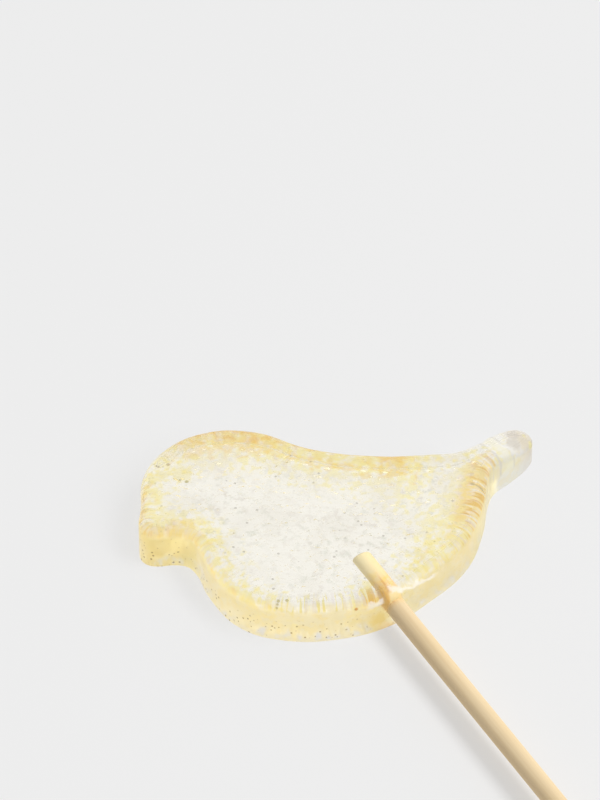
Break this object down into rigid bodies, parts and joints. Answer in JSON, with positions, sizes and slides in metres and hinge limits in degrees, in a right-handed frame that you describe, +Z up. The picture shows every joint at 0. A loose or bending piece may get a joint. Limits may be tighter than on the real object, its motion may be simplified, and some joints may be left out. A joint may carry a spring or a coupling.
{
  "type": "bird-shaped lollipop",
  "caption": "Flat-cast clear boiled-sugar lollipop in the shape of a small bird, on a round wooden stick, lying on its flat underside.",
  "frame": {"origin": "on the candy's flat underside, on the stick's axis and about midway along the bird's height", "axes": "+Z up out of the shown face, -Y along the stick towards its free end, -X towards the beak, +X towards the tail"},
  "size_m": [0.0808, 0.1942, 0.0093],
  "materials": {
    "boiled_sugar": "clear pale yellow boiled sugar, glossy, with fine crackle and tiny bubbles",
    "birch_wood": "plain pale wood, fine straight grain, smooth and matt"
  },
  "bodies": {
    "root": {"candy": "boiled_sugar", "stick": "birch_wood"}
  },
  "joints": []
}
